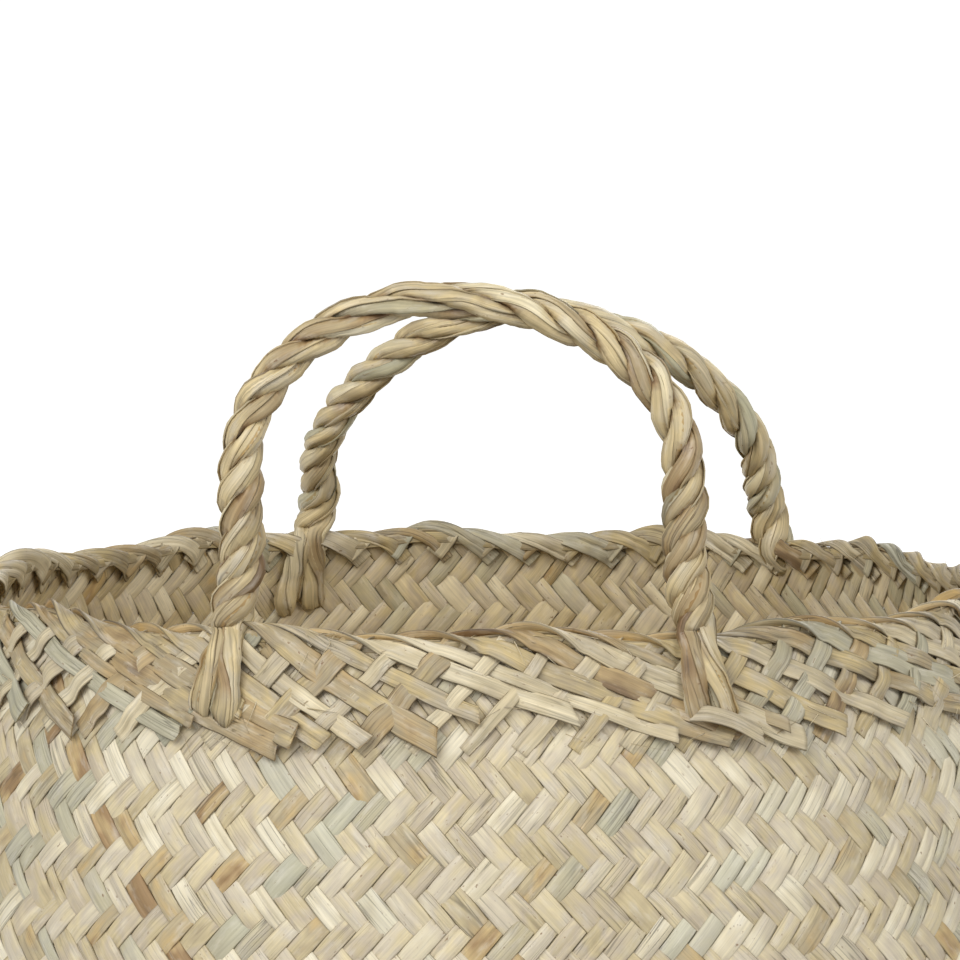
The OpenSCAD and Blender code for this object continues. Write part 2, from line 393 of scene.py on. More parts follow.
def twill(level):
    """Over two, under two: a cosine c of period 4 levels, squared off a little as
    1.25 c / sqrt(c^2 + 0.75^2), which is 1 where c is 1."""
    c = np.cos(np.pi * (level - 0.5) / 2)
    return 1.25 * c / np.sqrt(c * c + 0.75**2)


# ---------------------------------------------------------------- straw colours
# Half the side of the square mat, in straws.
HALF = STRAWS // 8
# Share of the straws that are greenish, in the wall and mat, the border and the rope.
GREEN_WALL, GREEN_BORDER, GREEN_ROPE = 0.17, 0.12, 0.15
MAT_K, MAT_K_TINT = straw_colours(4 * HALF, GREEN_WALL)
MAT_M, MAT_M_TINT = straw_colours(4 * HALF, GREEN_WALL)


def mat_place(i):
    """Where wall crossing i leaves the square mat: (x, y) in straw units."""
    side, along = np.divmod(i + HALF, 2 * HALF)
    along = along - HALF + 0.5
    x = np.select([side % 4 == 0, side % 4 == 1, side % 4 == 2], [along, HALF, -along], -HALF)
    y = np.select([side % 4 == 0, side % 4 == 1, side % 4 == 2], [-HALF, along, HALF], -along)
    return x, y


def wall_tones(rising):
    """Each wall straw keeps the colour that it has in the mat. A rising straw comes
    from the x+y set under the front and rear, and from the x-y set at the sides."""
    x, y = mat_place(np.arange(STRAWS))
    k = (x - y + 2 * HALF - 0.5).astype(int)
    m = (x + y + 2 * HALF - 0.5).astype(int)
    ends = np.abs(y) > np.abs(x)
    from_m = ends if rising else ~ends
    tone = np.where(from_m, MAT_M[m % (4 * HALF)], MAT_K[k % (4 * HALF)])
    tint = np.where(from_m, MAT_M_TINT[m % (4 * HALF)], MAT_K_TINT[k % (4 * HALF)])
    return tone, tint


def packed(count, along, step, fill):
    """Straws packed edge to edge. The line between two neighbours lies half way plus
    a random shift and drift, so widths vary by a quarter. Returns half widths and
    sideways shifts in pitches, [straw, section]. The last straw meets the first."""
    line = rng.normal(0, 0.1, (count, 1)) + wander(count, along, step, 0.055)
    before = np.roll(line, 1, axis=0)
    slack = fill - np.abs(rng.normal(0, 0.025, (count, 1)))
    return 0.5 * (1 + line - before) * slack, (line + before) / 2


def wall_straws(rising):
    """One set of the side's straws. A rising straw has q fixed and p growing; a
    falling one has p fixed. Turn is pi (p+q) / STRAWS and level is p - q. A straw's
    cross-lines run along the other set, so it dips under it edge to edge."""
    per_level = 3
    along = np.linspace(0, TOP_LEVEL, int(TOP_LEVEL * per_level) + 1)
    number = np.arange(STRAWS, dtype=float)
    half, shift = packed(STRAWS, along, 21, 1.045)
    sign = 1 if rising else -1
    x = across(STRAWS)
    tilt = wander(STRAWS, along, 7, 0.17)
    crown = 0.16 + wander(STRAWS, along, 12, 0.07)
    creased = rng.random((STRAWS, 1)) < 0.45
    groove = 0.4 * creased * smooth(0.4 + wander(STRAWS, along, 19, 1.4))
    height = sign * WAVE_H * twill(along)[None] + wander(STRAWS, along, 15, 0.06)
    fixed = number[:, None, None] + half[..., None] * x + shift[..., None]
    moving = number[:, None] + sign * along[None]
    p, q = (moving[..., None], fixed) if rising else (fixed, moving[..., None])
    lift = blade(x, height, tilt, crown, groove)
    points = on_wall(np.pi * (p + q) / STRAWS + FIRST_TURN, np.clip(p - q, 0, TOP_LEVEL), lift)
    tone, tint = wall_tones(rising)
    tone = tone[:, None] + wander(STRAWS, along, 24, 0.11) + wander(STRAWS, along, 5, 0.09)
    tint = tint[:, None] * np.clip(0.8 + wander(STRAWS, along, 30, 0.5), 0, 1)
    path = np.interp(along, LEVEL, RUN) * 1.35
    uv = np.stack(np.broadcast_arrays(
        path[None, :, None], 3.3 * x + 37 * number[:, None, None]
    ), -1)
    wear = rng.uniform(0.0, 0.5, (STRAWS, 1)) + 0.5 * smooth(wander(STRAWS, along, 16, 1.5))
    label = "rising" if rising else "falling"
    for group, part in enumerate(np.array_split(np.arange(STRAWS), 4)):
        numbers = straw_numbers(tone[part][..., None], tint[part][..., None], wear[part][..., None])
        piece = strips(
            f"wall_straws_{label}_{group + 1}", points[part], uv[part], numbers, wall_straw,
            "basket",
        )
        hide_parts("side_wall")


# ---------------------------------------------------------------- base mat
def square_to_disc(x, y):
    """Straw units to mm. The square's rings become rings of equal angle at the rim
    of the mat, and an even elliptical grid near its middle."""
    a, b = x / HALF, y / HALF
    size = np.maximum(np.abs(a), np.abs(b))
    safe = np.where(size > 1e-9, size, 1.0)
    ends = np.abs(b) > np.abs(a)
    longer = np.where(ends, b, a)
    shorter = np.where(ends, a, b)
    turn = shorter / np.where(longer == 0, 1, longer) * math.pi / 4
    rx = np.where(ends, np.sin(turn) * np.sign(b), np.cos(turn) * np.sign(a)) * safe
    ry = np.where(ends, np.cos(turn) * np.sign(b), np.sin(turn) * np.sign(a)) * safe
    ex = a * np.sqrt(np.maximum(1 - b * b / 2, 0))
    ey = b * np.sqrt(np.maximum(1 - a * a / 2, 0))
    w = smooth((size - 0.35) / 0.65)
    return FLAT_R * (ex * (1 - w) + rx * w), FLAT_R * (ey * (1 - w) + ry * w)


def mat_straws():
    """The base: two sets of 68 straws, x-y = k and x+y = m, in straw units. The twill
    runs in square rings, so that it meets the side's rows of crossings. steps go
    from one end of a straw to the other, and drift is their measure for wander."""
    per_unit = 4
    steps = np.linspace(-1, 1, 2 * HALF * per_unit + 1)
    drift = steps * 2 * HALF
    for label, tones, tints, sign in (("k", MAT_K, MAT_K_TINT, 1), ("m", MAT_M, MAT_M_TINT, -1)):
        number = np.arange(4 * HALF) - 2 * HALF + 0.5
        other = (2 * HALF - np.abs(number))[:, None] * steps[None]
        half, shift = packed(4 * HALF, drift, 30, 1.06)
        x = across(4 * HALF)
        fixed = number[:, None, None] + half[..., None] * x + 0.5 * shift[..., None]
        moving = other[..., None]
        k, m = (fixed, moving) if label == "k" else (moving, fixed)
        x0 = (number[:, None] + other) / 2
        y0 = (other - number[:, None]) / 2 if label == "k" else (number[:, None] - other) / 2
        level = 2 * (np.maximum(np.abs(x0), np.abs(y0)) - HALF)
        side = np.clip(2 * (np.abs(y0) - np.abs(x0)), -1, 1)
        height = sign * WAVE_H * twill(level) * side
        px, py = square_to_disc(np.clip((k + m) / 2, -HALF, HALF), np.clip((m - k) / 2, -HALF, HALF))
        lift = blade(x, height, 0 * height, 0.16 + 0 * height, 0.2 + 0 * height)
        points = np.stack([px, py, WEAVE_T / 2 - lift], -1)
        tone = tones[:, None, None] + wander(4 * HALF, drift, 24, 0.1)[..., None]
        wear = 0.3 + 0.3 * wander(4 * HALF, drift, 20, 1.0)[..., None]
        uv = np.stack(np.broadcast_arrays(5.2 * moving + 0 * px, 2.6 * x + 41 * number[:, None, None]), -1)
        numbers = straw_numbers(tone, tints[:, None, None], np.clip(wear, 0, 1))
        piece = strips(f"mat_straws_{label}", points, uv, numbers, wall_straw, "basket")
        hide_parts("base_mat")


# ---------------------------------------------------------------- border
CREST_Z = RIM_Z - 1.0
# Distance of the border's middle from the side's outer face.
BORDER_OFF = 1.15
# Height of a border straw's middle above or below the border's at a crossing.
BORDER_WAVE = 0.75
FOLD_PITCH = 2 * math.pi * MOUTH_R / FOLDS
RISER_ANGLE = 50.0
RISER_RUN = 1 / math.tan(math.radians(RISER_ANGLE))
FOLD_ANGLE = 26.0
# Slope of the folds over the crest, in degrees.
CREST_ANGLE = 12.0
# Depth at which the folds start inside, and depth at which they are evenly spaced.
FOLD_START, SET_DEPTH = -11.0, 10.0
# Half widths of the folded and the rising straws.
FOLD_W, RISER_W = 3.4, 3.25


def crest_curve():
    """The line that the border's straws follow, from 14 mm down inside, over a half
    round crest, and down outside the wall. Returns depth along it from the crest,
    radius, height and normal."""
    inner = MOUTH_R - WEAVE_T - 0.5
    outer = MOUTH_R + BORDER_OFF
    half = (outer - inner) / 2
    top = CREST_Z - half
    down = np.linspace(14, 0, 12)[:-1]
    turn = np.linspace(math.pi, 0, 25)
    z = np.linspace(top, RIM_Z - BORDER_H - 14, 60)[1:]
    lean = slope(z)
    size = np.sqrt(1 + lean**2)
    # The mouth's radius at the crest passes into the side's own within a few mm.
    step = outer - (outer_r(np.array(top)) + BORDER_OFF)
    outside = outer_r(z) + BORDER_OFF + step * np.exp(-(top - z) / 3)
    r = np.concatenate([inner + down * 0.3, inner + half + half * np.cos(turn), outside])
    h = np.concatenate([top - down, top + half * np.sin(turn), z])
    nr = np.concatenate([np.full(len(down), -1.0), np.cos(turn), 1 / size])
    nz = np.concatenate([np.zeros(len(down)), np.sin(turn), -lean / size])
    run = np.concatenate([[0], np.cumsum(np.hypot(np.diff(r), np.diff(h)))])
    return run - run[len(down) + len(turn) // 2], r, h, nr, nz


CREST = crest_curve()


def rim_wave(u):
    """Height of the crest's waves: twelve humps round the rim, and five slow waves.
    A hump is the square of (1 + sine) / 2."""
    turn = u / MOUTH_R
    hump = (0.5 + 0.5 * np.sin(12 * turn - 0.1)) ** 2
    return 3.4 * hump - 0.9 + 0.7 * np.sin(5 * turn + 2.0)


def on_border(u, depth, lift):
    """The point u mm round the rim from the front, depth mm from the crest."""
    run, r, z, nr, nz = CREST
    turn = u / MOUTH_R - math.pi / 2
    radius = np.interp(depth, run, r) + lift * np.interp(depth, run, nr)
    height = np.interp(depth, run, z) + lift * np.interp(depth, run, nz)
    height = height + rim_wave(u) * smooth((13 - np.abs(depth)) / 13)
    return np.stack([radius * np.cos(turn), radius * np.sin(turn), height], -1)


def border_sections(u, depth, lift, half_width, roll, crown, groove, x):
    """Straws along centre lines on the border. The section is square to the line
    and turned about it by roll. Arrays are [straw, section], and x is the corners'
    places across."""
    centre = on_border(u, depth, lift)
    run = unit(np.gradient(centre, axis=1))
    out = on_border(u, depth, lift + 1.0) - centre
    side = unit(np.cross(run, out))
    up = np.cross(side, run)
    c, s = np.cos(roll)[..., None], np.sin(roll)[..., None]
    wide = side * c + up * s
    high = up * c - side * s
    y = blade(x, 0 * depth, 0 * depth, crown, groove)
    return (
        centre[:, :, None] + (half_width[..., None] * x)[..., None] * wide[:, :, None]
        + y[..., None] * high[:, :, None], run
    )


def cut_slant(points, run, x, reach, length):
    """Slants and frays the last sections: each corner moves along the straw by reach
    times x, the more so within length sections of the end."""
    m = points.shape[1]
    near = smooth((np.arange(m) - (m - 1 - length)) / length)
    ragged = rng.normal(0, 0.35, (len(points), 1, points.shape[2]))
    return points + ((reach[:, None, None] * x + ragged) * near[None, :, None])[..., None] * run[:, :, None]


def border_piece(name, points, u, x, width, number, colours, wear, *nodes):
    """A set of border straws as one piece, with its lengthwise pattern in mm."""
    along = (u - u[:, :1])[..., None] * 1.15
    uv = np.stack(np.broadcast_arrays(
        along, width[..., None] * x + 29 * number[:, None, None] + 500
    ), -1)
    piece = strips(name, points, uv, straw_numbers(*colours, wear), border_straw, "basket")
    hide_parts(*nodes)


def fold_angle(turn):
    """Slope of the folded straws in degrees, waving by 5 eight times round."""
    return FOLD_ANGLE + 5 * np.sin(8 * turn - 0.66)


def border_folds():
    """68 straws that fold over the crest and run down to the right at about 26
    degrees, over one riser and under the next, to cut ends that stand proud. Each
    starts inside and ends 26 to 38 mm below the crest."""
    n = FOLDS
    number = np.arange(n, dtype=float)
    steps = 90
    t = np.linspace(0, 1, steps)[None]
    angle = (fold_angle(2 * np.pi * number / n) + rng.normal(0, 1.6, n))[:, None]
    end = rng.uniform(26, 38, n)[:, None]
    depth = FOLD_START + (end - FOLD_START) * t
    # The line is steep inside, nearly level over the crest and angled outside.
    inside_grade = CREST_ANGLE + 34 * smooth(-depth / 9)
    outside_grade = CREST_ANGLE + (angle - CREST_ANGLE) * smooth(depth / 8)
    grade = np.radians(np.where(depth < 0, inside_grade, outside_grade))
    du = np.diff(depth, axis=1, prepend=depth[:, :1]) / np.tan(grade)
    u = np.cumsum(du, axis=1)
    u -= np.array([np.interp(SET_DEPTH, d, uu) for d, uu in zip(depth, u)])[:, None]
    u += number[:, None] * FOLD_PITCH + SET_DEPTH / np.tan(np.radians(angle)) + rng.normal(0, 0.7, (n, 1))
    riser = (u + depth * RISER_RUN) / FOLD_PITCH
    outside = smooth((depth - 3) / 5)
    lift = -BORDER_WAVE * np.cos(np.pi * (riser + number[:, None])) * outside + 0.25 * (1 - outside)
    crest = np.exp(-((depth - 0.5) / 4.2) ** 2)
    places = np.linspace(0, 60, steps)
    roll = crest * rng.normal(0.65, 0.35, (n, 1)) + 0.1 * wander(n, places, 30, 1)
    lift += crest * rng.uniform(0.0, 1.3, (n, 1)) - 1.9 * smooth((-depth - 5) / 5)
    lift += smooth((t - 0.9) / 0.1) * rng.uniform(0.3, 2.4, (n, 1)) + 0.8 * smooth((t - 0.78) / 0.2)
    width = np.clip(rng.normal(FOLD_W, 0.6, (n, 1)), 2.2, 4.5) * (1 + 0.09 * wander(n, places, 25, 1))
    width = width * (1 - 0.28 * crest)
    x = across(n)
    groove = 0.5 * (rng.random((n, 1)) < 0.6) * smooth(0.3 + wander(n, places, 40, 1.5)) + 0.45 * crest
    crown = 0.22 + 0.45 * crest
    points, run = border_sections(u, depth, lift, width, roll, crown, groove, x)
    points = cut_slant(points, run, x, rng.normal(0.4, 1.2, n), 5)
    tone, tint = straw_colours(n, GREEN_BORDER)
    tone = tone[:, None, None] + 0.12 * wander(n, places, 25, 1)[..., None]
    wear = np.clip(rng.uniform(0.1, 0.8, (n, 1)) + 0.5 * crest + 0.3 * smooth((t - 0.85) / 0.15), 0, 1)
    border_piece(
        "border_folded_straws", points, u, x, width, number, (tone, tint[:, None, None]),
        wear[..., None], "rim_border", "border_straw_ends",
    )


def border_risers():
    """68 straws that rise to the right through the border, at about 50 degrees, over
    and under the folded ones, and turn in over the crest."""
    n = FOLDS
    number = np.arange(n, dtype=float)
    steps = 50
    places = np.linspace(BORDER_H + 5, -9, steps)
    depth = np.broadcast_to(places[None], (n, steps))
    u = number[:, None] * FOLD_PITCH - depth * RISER_RUN + wander(n, places, 40, 0.5)
    angle = np.radians(fold_angle(u / MOUTH_R))
    fold = (u - depth / np.tan(angle)) / FOLD_PITCH
    body = smooth((depth - 2) / 5) * smooth((BORDER_H - 1 - depth) / 6)
    lift = BORDER_WAVE * np.cos(np.pi * (number[:, None] + fold)) * body
    lift = lift - 0.5 * (1 - smooth((depth - 2) / 5))
    lift = lift - 1.9 * smooth((depth - BORDER_H + 3) / 6)
    width = np.clip(rng.normal(RISER_W, 0.5, (n, 1)), 2.1, 4.2) * (1 + 0.07 * wander(n, places, 25, 1))
    x = across(n)
    groove = 0.45 * (rng.random((n, 1)) < 0.55) * smooth(0.3 + wander(n, places, 40, 1.5))
    roll = 0.12 * wander(n, places, 30, 1.0)
    points, _ = border_sections(u, depth, lift, width, roll, 0.2 + 0 * depth, groove, x)
    tone, tint = straw_colours(n, GREEN_BORDER)
    tone = tone[:, None, None] + 0.1 * wander(n, places, 25, 1)[..., None]
    wear = np.clip(rng.uniform(0.1, 0.8, (n, 1)) + 0 * depth, 0, 1)
    border_piece(
        "border_rising_straws", points, -depth * 1.2, x, width, number + 90,
        (tone, tint[:, None, None]), wear[..., None], "rim_border",
    )


def border_core():
    """Three straws laid round the rim just under the crest, which the others fold
    over."""
    depth = np.array([[-3.6], [0.0], [3.6]])
    u = np.linspace(0, 2 * np.pi * MOUTH_R, 480)[None] + 0 * depth
    flat = 0 * u
    width = flat + 2.0
    x = across(3)
    points, _ = border_sections(u, depth + flat, flat - 0.4, width, flat, flat + 0.1, flat, x)
    border_piece(
        "border_core_straws", points, u, x, width, np.arange(3.0) + 200,
        (np.array(0.6), np.array(0.0)), np.array(0.4), "rim_border",
    )


def loose_fibres():
    """Split fibres that stand off the crest and the cut ends: thin tapering strips,
    each a shallow arc from a random place on the border."""
    n, m = 260, 7
    t = np.linspace(0, 1, m)[None]
    start = rng.uniform(0, 2 * np.pi * MOUTH_R, (n, 1))
    low = rng.random((n, 1)) < 0.55
    first = np.where(low, rng.uniform(22, 36, (n, 1)), rng.uniform(-3, 4, (n, 1)))
    length = rng.uniform(4, 12, (n, 1))
    angle = np.radians(rng.normal(25, 28, (n, 1)))
    depth = first + length * np.sin(angle) * t
    u = start + length * np.cos(angle) * t * rng.choice([-1, 1], (n, 1), p=[0.3, 0.7])
    lift = 0.8 + (0.4 + rng.uniform(0.2, 2.6, (n, 1))) * t**1.5
    x = np.array([-1.0, 1.0, 0.0])
    width = rng.uniform(0.12, 0.3, (n, 1)) * (1 - 0.75 * t)
    centre = on_border(u, depth, lift)
    run = unit(np.gradient(centre, axis=1))
    out = unit(on_border(u, depth, lift + 1.0) - centre)
    side = unit(np.cross(run, out))
    points = centre[:, :, None] + (width[..., None] * x)[..., None] * side[:, :, None]
    points = points + (0.16 * (x == 0))[:, None] * out[:, :, None]
    uv = np.stack(np.broadcast_arrays(length[..., None] * t[..., None], 0.2 * x + 9 * start[..., None]), -1)
    none = np.zeros(1)
    numbers = {"tone": rng.beta(2, 3, (n, 1, 1)), "tint": none, "wear": none, "inner": none, "edge": none}
    piece = strips("border_loose_fibres", points, uv, numbers, border_straw, "basket")
    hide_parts("border_straw_ends")


def lash():
    """The flat straw that ties the front right foot down: out from under the foot,
    to the right and a little down, to a slanted cut end."""
    steps = 30
    t = np.linspace(0, 1, steps)[None]
    u = FRONT["leg"] + 21.5 * t
    depth = 27.0 + 9.0 * t - 1.5 * np.sin(np.pi * t)
    lift = 0.4 + 4.6 * smooth(t / 0.18) - 1.4 * smooth((t - 0.5) / 0.5)
    width = 3.0 * (1 - 0.15 * smooth((0.2 - t) / 0.2))
    x = across(1)
    points, run = border_sections(u, depth, lift, width, 0.25 + 0 * t, 0.25 + 0 * t, 0.3 + 0 * t, x)
    points = cut_slant(points, run, x, np.array([2.2]), 4)
    border_piece(
        "front_right_lash_straw", points, u, x, width, np.array([300.0]),
        (np.array(0.3), np.array(0.0)), np.array(0.6), "front_right_lash",
    )


# ---------------------------------------------------------------- rope handles
# Radius of the strands' helix, and of a strand.
LAY_R = 3.6
STRAND_R = 3.15
# Length of a full turn in the legs, and what the shoulders and the top add to it.
LEG_PITCH, SHOULDER_PITCH, TOP_PITCH = 25.0, 12.0, 42.0
# Radius on which the legs stand, and their spread per mm below SPLAY_V.
MID_R = MOUTH_R - 1.0
SPLAY = 0.2
SPLAY_V = 20.0
# Length over which the straws go once round their strand.
STRAW_TURN = 110.0
# Height of the rope's ends, and the mean depth of the bundles outside the border.
FOOT_V = -30.0
BUNDLE_V = 27.0
# Half spacing of the legs, height of the straight legs, rise of the arch, place of
# its top, slimness of its right shoulder (1 is an ellipse), lean into the mouth and
# turn about the basket's axis, in degrees. lay scales the length of a twist.
# face is 1 where a leg's bundles go down outside the wall, left leg then right, and
# tail is the depth of the third strand on the other face. The strands start to part
# at the height given by part.
FRONT = {
    "leg": 70.5, "knee": 52.0, "rise": 54.0, "top": -5.0, "slim": 1.0, "lean": 0.0, "turn": 0.0,
    "lay": 1.0, "face": (1, 1), "tail": (24.0, 24.0), "part": (9.0, 9.0),
}
REAR = {
    "leg": 81.5, "knee": 27.0, "rise": 79.0, "top": 6.0, "slim": 1.29, "lean": 37.0, "turn": 173.5,
    "lay": 1.2, "face": (1, -1), "tail": (8.0, 24.0), "part": (2.0, 9.0),
}


def leg_u(h, v):
    """Sideways place of a leg: straight above SPLAY_V and spreading below it."""
    return h["leg"] + SPLAY * np.maximum(0, SPLAY_V - v)


def rope_line(h, spacing):
    """The rope's centre from the left foot over the top to the right foot: two
    straight legs and two quarter ellipses, whose sine and cosine may be raised to a
    power. Returns points (u, v) at an even spacing, and the run along them."""
    leg_v = np.linspace(FOOT_V, h["knee"], 80)
    left = np.stack([-leg_u(h, leg_v), leg_v], -1)
    turn = np.linspace(np.pi, 0, 240)[1:-1]
    left_side = turn > np.pi / 2
    half = np.where(left_side, -h["leg"] - h["top"], h["leg"] - h["top"])
    power = np.where(left_side, 1.0, h["slim"])
    arch = np.stack([
        h["top"] + half * np.abs(np.cos(turn)) ** power, h["knee"] + h["rise"] * np.sin(turn) ** power
    ], -1)
    right = np.stack([leg_u(h, leg_v[::-1]), leg_v[::-1]], -1)
    line = np.concatenate([left, arch, right])
    run = np.concatenate([[0], np.cumsum(np.linalg.norm(np.diff(line, axis=0), axis=1))])
    even = np.linspace(0, run[-1], int(run[-1] / spacing) + 1)
    return np.stack([np.interp(even, run, line[:, i]) for i in (0, 1)], -1), even


def hinge_y(h):
    """Y of the hinge line before the handle's turn: where the legs cross its height
    on the circle that they stand on."""
    return -math.sqrt(MID_R**2 - float(leg_u(h, np.array(HINGE_V))) ** 2)


def place_handle(h, points):
    """Handle points (u, y, v) into the basket's frame: leaned about the hinge line,
    with the lean growing over the 22 mm round it, and turned about the axis."""
    u, y, v = points[..., 0], points[..., 1], points[..., 2]
    lean = -math.radians(h["lean"]) * smooth((v - HINGE_V + 14) / 22)
    c, s = np.cos(lean), np.sin(lean)
    dy, dz = y - hinge_y(h), v - HINGE_V
    y2 = hinge_y(h) + dy * c - dz * s
    z2 = HINGE_V + dy * s + dz * c
    turn = math.radians(h["turn"])
    return np.stack([
        u * math.cos(turn) - y2 * math.sin(turn), u * math.sin(turn) + y2 * math.cos(turn), RIM_Z + z2
    ], -1)


def outside_r(v):
    """Radius of the border's outer face, and of the side's below it."""
    return outer_r(RIM_Z + v) + np.where(v > -BORDER_H, 2.6, 0.8)


def foot_place(h, side, kind, v):
    """Where a strand lies once the rope has parted: kind -1 and 1 are the two
    bundles on the leg's own face of the wall, and 0 is the tail on the other face.
    Ends turn into the weave. Returns u, y and the height of the strand's end."""
    face = h["face"][(side + 1) // 2]
    outside = face == 1 if kind else face == -1
    over = smooth((4 - v) / 9)
    low = np.minimum(v, 0)
    deep = h["tail"][(side + 1) // 2] if kind == 0 else BUNDLE_V + 1.5 * kind
    if outside:
        r = MID_R + 1.5 + over * (outside_r(low) + 1.3 - MID_R - 1.5)
        r = r - 3.6 * smooth((-v - deep + 5) / 6)
    else:
        r = MID_R - 2.0 + over * (outer_r(RIM_Z + low) - WEAVE_T - 1.9 - MID_R + 2.0)
        r = r + 2.6 * smooth((-v - deep + 5) / 6)
    u = side * leg_u(h, v) + kind * (1.7 + 2.5 * smooth(-v / 24))
    return u, -np.sqrt(r * r - u * u), -deep


def rope_handle(h, name, nodes):
    """Three strands twisted right-handed, each a bundle of flat straws. The twist is
    tight in the legs, a little looser in the shoulders and open at the top. Over the
    crest the strands part: two go down outside the border and one down inside."""
    line, run = rope_line(h, 1.7)
    share = run / run[-1]
    shoulder = smooth((share - 0.2) / 0.08) * smooth((0.8 - share) / 0.08)
    pitch = h["lay"] * (LEG_PITCH + SHOULDER_PITCH * shoulder)
    pitch = pitch + TOP_PITCH * np.exp(-(((share - 0.48) / 0.075) ** 2))
    pitch = pitch * (1 + 0.12 * wander(1, run, 70, 1)[0])
    turns = np.cumsum(np.diff(run) / ((pitch[1:] + pitch[:-1]) / 2))
    phase = np.concatenate([[0], turns]) * 2 * np.pi
    tangent = unit(np.gradient(line, axis=0))
    outwards = np.stack([-tangent[:, 1], tangent[:, 0]], -1)
    middle_y = hinge_y(h)
    v = line[:, 1]
    side = np.where(share < 0.5, -1, 1)
    parted = smooth((np.where(side < 0, *h["part"]) - v) / 13)
    # The rope is thicker in the legs, where the twist is tight, and thinner on top.
    stout = 1 + 0.12 * smooth((h["knee"] + 12 - v) / 25) - 0.1 * np.exp(-(((share - 0.46) / 0.1) ** 2))
    strands = []
    for k in range(3):
        a = phase + 2 * np.pi * k / 3 + 0.4
        loose = stout * (1 + 0.1 * wander(1, run, 60, 1)[0])
        u_twist = line[:, 0] + LAY_R * loose * np.cos(a) * outwards[:, 0]
        v_twist = v + LAY_R * loose * np.cos(a) * outwards[:, 1]
        y_twist = middle_y - LAY_R * loose * np.sin(a)
        strands.append(np.stack([u_twist, y_twist, v_twist], -1))
    # The section of each leg at which the strands' parts are dealt out.
    dealt = {leg: int(np.argmin(np.abs(v - 3.0) + 1000 * (side != leg))) for leg in (-1, 1)}
    plan = {leg: best_order(h, leg, [twist[at] for twist in strands]) for leg, at in dealt.items()}
    for k, twist in enumerate(strands):
        foot = np.zeros((len(v), 3))
        for leg in (-1, 1):
            u_foot, y_foot, deepest = foot_place(h, leg, plan[leg][k], v)
            v_foot = np.where(v < deepest, deepest + 0.03 * (v - deepest), v)
            here = np.stack([u_foot, y_foot, v_foot], -1)
            foot = np.where((side == leg)[:, None], here, foot)
        path = twist + (foot - twist) * parted[:, None]
        out = unit(twist - np.stack([line[:, 0], 0 * v + middle_y, v], -1))
        piece = strand_straws(h, path, out, stout, run, parted, f"{name}_strand_{k + 1}_straws", k)
        bend_with_handle(piece)
        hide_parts(*nodes[k])


def best_order(h, side, twisted):
    """The strands' parts at a foot, chosen so that they move least from their
    twisted places (u, y, v) to their places 2 mm below the crest."""
    def cost(order):
        total = 0.0
        for (u, y, _), kind in zip(twisted, order):
            u0, y0, _ = foot_place(h, side, kind, np.array(-2.0))
            total += (u - u0) ** 2 + (y - y0) ** 2
        return total

    return min(itertools.permutations((-1, 0, 1)), key=cost)


def bend_with_handle(piece):
    """Bakes the piece's placement into its mesh coordinates."""
    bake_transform(piece)


def carried_frame(path):
    """Two directions square to the path that turn as little as possible along it."""
    tangent = unit(np.gradient(path, axis=0))
    first = np.zeros_like(path)
    current = unit(np.cross(tangent[0], [0.3, 1.0, 0.1]))
    for i, t in enumerate(tangent):
        current = unit(current - t * (current @ t))
        first[i] = current
    return tangent, first, np.cross(tangent, first)


